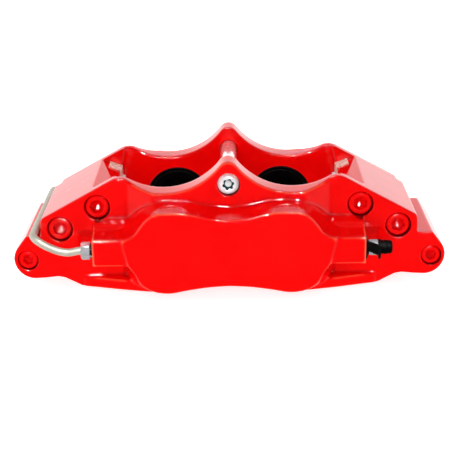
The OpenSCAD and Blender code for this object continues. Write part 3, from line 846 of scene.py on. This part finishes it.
# CAD nodes whose own shape is right: they keep it, with broken edges and their material
BROKEN_EDGE = 0.25
for node, obj in frame["nodes"].items():
    if obj.hide_render:
        continue
    obj.data.materials.clear()
    obj.data.materials.append(MATERIALS[SLOT_OF[node]])
    bevel = obj.modifiers.new("edges", "BEVEL")
    bevel.width = BROKEN_EDGE * MM
    bevel.segments = 3
    bevel.limit_method = "ANGLE"
    bevel.angle_limit = math.radians(40)


# ---------------------------------------------------------------- stage, light and camera

FLOOR_HALF = 9000
FLOOR_GAP = 0.2
WALL_R = 8500

stage_shader = Shader("pale_floor", (0.93, 0.93, 0.93), roughness=0.7, Specular_IOR_Level=0.2,
                      Emission_Color=(1, 1, 1, 1), Emission_Strength=0.75)
mottle = stage_shader.noise(3.0, 4)
stage_shader.color(stage_shader.tint(mottle, (0.925, 0.925, 0.925), (0.935, 0.935, 0.935)))
floor_corners = [(x * FLOOR_HALF, y * FLOOR_HALF, 0) for x, y in ((-1, -1), (1, -1), (1, 1), (-1, 1))]
floor = mesh_of("floor", floor_corners, [(0, 1, 2, 3)])
floor.location.z = cad_low.z - FLOOR_GAP * MM
floor.data.materials.append(stage_shader.mat)
floor.visible_glossy = False
bpy.context.scene.collection.objects.link(floor)

# A white wall far off all round, which only the camera sees
wall_shader = Shader("white_wall", (1, 1, 1), roughness=1.0, Specular_IOR_Level=0.0,
                     Emission_Color=(1, 1, 1, 1), Emission_Strength=1.0)
wall = loft("white_wall", [(WALL_R, -100), (WALL_R, 9000)], (0, 0, 0), (0, 0, 1), (1, 0, 0), 96)
wall.data.materials.append(wall_shader.mat)
for seen in ("visible_diffuse", "visible_glossy", "visible_transmission", "visible_shadow"):
    setattr(wall, seen, False)
bpy.context.scene.collection.objects.link(wall)


LIGHTS_AIM = Vector((0, -0.03, 0.02))


def studio_light(name, spot, size, power, sparkle=False):
    """A big lamp that fills without showing in the gloss, or a small one that shows only there."""
    data = bpy.data.lights.new(name, "AREA")
    data.shape = "RECTANGLE"
    data.size, data.size_y = size
    data.energy = power
    lamp = bpy.data.objects.new(name, data)
    lamp.location = spot
    lamp.rotation_euler = (LIGHTS_AIM - Vector(spot)).to_track_quat("-Z", "Y").to_euler()
    lamp.visible_glossy = sparkle
    lamp.visible_diffuse = not sparkle
    bpy.context.scene.collection.objects.link(lamp)


studio_light("front_fill", (-0.25, -1.5, 0.55), (1.3, 0.9), 13)
studio_light("top_fill", (-0.2, -0.1, 1.5), (1.6, 1.4), 10)
studio_light("back_fill", (0.0, 1.5, 0.7), (1.6, 0.8), 7)
# Directions of the small lamps in degrees: round from the front, and up
SPARKS = [(-14, 41), (3, 42), (20, 41), (-3, 66)]
SPARK_FAR = 1.5
for index, direction in enumerate(SPARKS):
    turn, lift = map(math.radians, direction)
    spot = (SPARK_FAR * math.sin(turn) * math.cos(lift), -SPARK_FAR * math.cos(turn) * math.cos(lift),
            SPARK_FAR * math.sin(lift))
    studio_light(f"spark_{index}", spot, (0.10, 0.08), 12, sparkle=True)

# Room light: a white wall glows behind and fades upwards; the room in front is dim
GLOW = 1.45
GLOW_HEIGHT = 0.6
ROOM_DIM = 0.03
world = bpy.data.worlds.new("room")
world.use_nodes = True
bpy.context.scene.world = world
tree = world.node_tree


def room_math(operation, *values):
    """A math node of the room light, fed with numbers or other nodes' outputs."""
    node = tree.nodes.new("ShaderNodeMath")
    node.operation = operation
    for socket, value in zip(node.inputs, values):
        if isinstance(value, (int, float)):
            socket.default_value = value
        else:
            tree.links.new(value, socket)
    return node.outputs[0]


split = tree.nodes.new("ShaderNodeSeparateXYZ")
tree.links.new(tree.nodes.new("ShaderNodeTexCoord").outputs["Generated"], split.inputs[0])
height = room_math("DIVIDE", split.outputs["Z"], GLOW_HEIGHT)
drop = room_math("MULTIPLY", room_math("POWER", height, 2.0), -1.0)
fade = room_math("POWER", math.e, drop)
behind = room_math("MULTIPLY_ADD", split.outputs["Y"], 1.5, 0.9)
behind = room_math("MAXIMUM", room_math("MINIMUM", behind, 1.0), ROOM_DIM)
glow = room_math("MULTIPLY", fade, behind)
strength = room_math("MULTIPLY_ADD", glow, GLOW, ROOM_DIM)
background = tree.nodes["Background"]
background.inputs["Color"].default_value = (1, 1, 1, 1)
tree.links.new(strength, background.inputs["Strength"])

bpy.context.scene.view_settings.view_transform = "Standard"
bpy.context.scene.view_settings.look = "None"

# The camera's place, downward tilt, roll and lens, as solved from the photographed outline
CAMERA_PLACE = (0.00486, -0.77115, 0.2725)
CAMERA_TILT = 20.2
CAMERA_ROLL = -0.75
FOCAL_LENGTH = 91.6
tilt, roll = math.radians(CAMERA_TILT), math.radians(CAMERA_ROLL)
ahead = Vector((0, math.cos(tilt), -math.sin(tilt)))
right, up = Vector((1, 0, 0)), Vector((0, math.sin(tilt), math.cos(tilt)))
right, up = right * math.cos(roll) + up * math.sin(roll), up * math.cos(roll) - right * math.sin(roll)
lens = bpy.data.cameras.new("camera")
lens.sensor_width = 36
lens.lens = FOCAL_LENGTH
camera = bpy.data.objects.new("camera", lens)
camera.matrix_world = Matrix.Translation(CAMERA_PLACE) @ Matrix((right, up, -ahead)).transposed().to_4x4()
bpy.context.scene.collection.objects.link(camera)
bpy.context.scene.camera = camera
